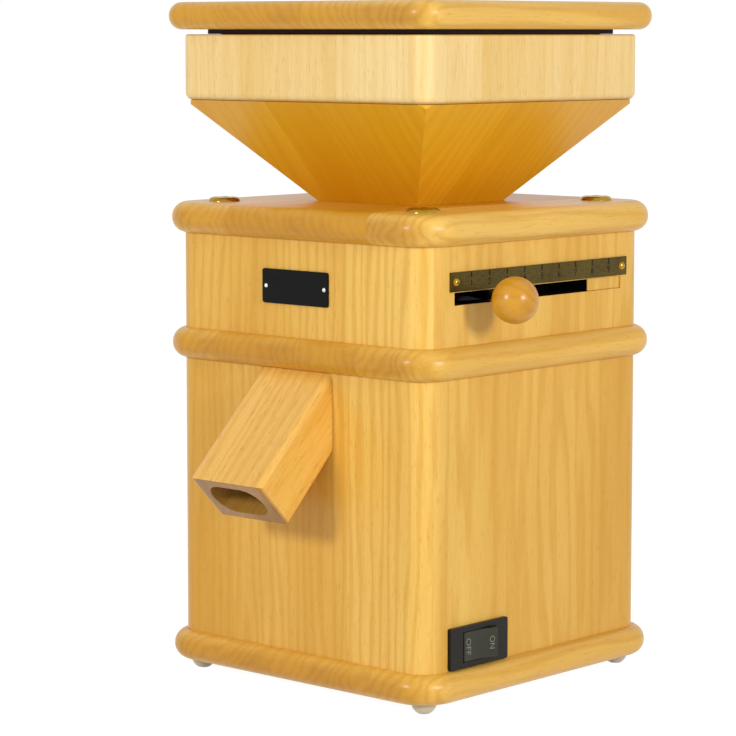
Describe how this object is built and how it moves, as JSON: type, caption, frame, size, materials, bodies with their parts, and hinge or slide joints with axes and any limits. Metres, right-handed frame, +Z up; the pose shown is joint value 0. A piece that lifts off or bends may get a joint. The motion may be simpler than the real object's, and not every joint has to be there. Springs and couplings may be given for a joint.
{
  "type": "electric grain mill",
  "caption": "Tall wooden electric grain mill: lidded square hopper over a tapered funnel, side lever with ball knob and scale, sloping front spout, rocker switch and buffer feet.",
  "frame": {"origin": "on the mill's vertical axis, at the level that its feet stand on", "axes": "+Z up; the spout is on the -Y side; the lever, scale and switch are on the +X side"},
  "size_m": [0.2519, 0.2704, 0.4018],
  "materials": {
    "beech": "clear satin lacquer over straight-grained beech",
    "beech_pale": "clear satin lacquer over pale beech",
    "beech_amber": "clear satin lacquer over warm amber beech",
    "beech_turned": "turned and lacquered beech",
    "plug_dark": "dark stained board",
    "aged_brass": "aged satin brass strip",
    "bright_brass": "polished brass",
    "dark_steel": "dark steel",
    "plain_steel": "plain steel",
    "bright_pin": "bright pin head",
    "black_plate": "satin black",
    "switch_black": "black moulded plastic",
    "clear_buffer": "soft translucent buffer",
    "millstone": "dressed millstone",
    "cast_metal": "cast and turned aluminium",
    "chamber_plastic": "pale moulded plastic",
    "felt": "pressed felt",
    "laminated_steel": "laminated core",
    "winding_copper": "enamelled copper winding",
    "can_grey": "grey capacitor can"
  },
  "bodies": {
    "housing": {"hopper_front_board": "beech_pale", "hopper_back_board": "beech_pale", "hopper_left_board": "beech_pale", "hopper_right_board": "beech_pale", "funnel_front_board": "beech_amber", "funnel_back_board": "beech_amber", "funnel_left_board": "beech_amber", "funnel_right_board": "beech_amber", "top_board": "beech", "cup_washers": "bright_brass", "top_screws": "bright_brass", "corner_blocks": "beech", "upper_front_board": "beech", "upper_back_board": "beech", "upper_left_board": "beech", "upper_right_board": "beech", "scale_plate": "aged_brass", "scale_screws": "bright_brass", "name_plate": "black_plate", "name_plate_pins": "bright_pin", "slot_stop_block": "beech", "keeper_clips": "plain_steel", "guide_pins": "plain_steel", "chamber_block": "chamber_plastic", "chamber_cover": "chamber_plastic", "chamber_screws": "plain_steel", "shaft_seal": "felt", "mid_board": "beech", "lower_front_board": "beech", "lower_back_board": "beech", "lower_left_board": "beech", "lower_right_board": "beech", "spout": "beech_turned", "motor_upper_shield": "cast_metal", "motor_lower_shield": "cast_metal", "stator_core": "laminated_steel", "stator_windings": "winding_copper", "shaft_bearings": "plain_steel", "tie_bolts": "plain_steel", "motor_screws": "plain_steel", "base_board": "beech", "feet": "clear_buffer", "base_screws": "plain_steel", "switch_housing": "switch_black", "cable_gland": "switch_black", "capacitor": "can_grey"},
    "lid": {"lid_board": "beech", "lid_plug": "plug_dark"},
    "adjuster": {"adjusting_ring": "cast_metal", "lever_stem": "dark_steel", "ball_knob": "beech_turned"},
    "carrier": {"stone_carrier": "cast_metal", "upper_stone": "millstone"},
    "rotor": {"motor_shaft": "plain_steel", "rotor_core": "laminated_steel", "cooling_fan": "chamber_plastic", "stone_hub": "cast_metal", "lower_stone": "millstone", "feed_nut": "plain_steel"},
    "rocker": {"rocker": "switch_black"}
  },
  "joints": [
    {"name": "lid_lift", "type": "slide", "parent": "housing", "child": "lid", "axis": [0, 0, 1], "range_m": [0, 0.06]},
    {"name": "lever_swing", "type": "hinge", "parent": "housing", "child": "adjuster", "pos_m": [0, 0, 0.2355], "axis": [0, 0, 1], "range_deg": [-11, 47]},
    {"name": "stone_lift", "type": "slide", "parent": "housing", "child": "carrier", "axis": [0, 0, 1], "range_m": [-0.0001, 0.0004]},
    {"name": "rotor_spin", "type": "hinge", "parent": "housing", "child": "rotor", "pos_m": [0, 0, 0.12], "axis": [0, 0, 1], "continuous": true},
    {"name": "rocker_tilt", "type": "hinge", "parent": "housing", "child": "rocker", "pos_m": [0.098, -0.05625, 0.03655], "axis": [0, 0, 1], "range_deg": [0, 16.6]}
  ],
  "couplings": [
    {"joint": "stone_lift", "follows": "lever_swing", "m_per_rad": 0.00047746}
  ]
}
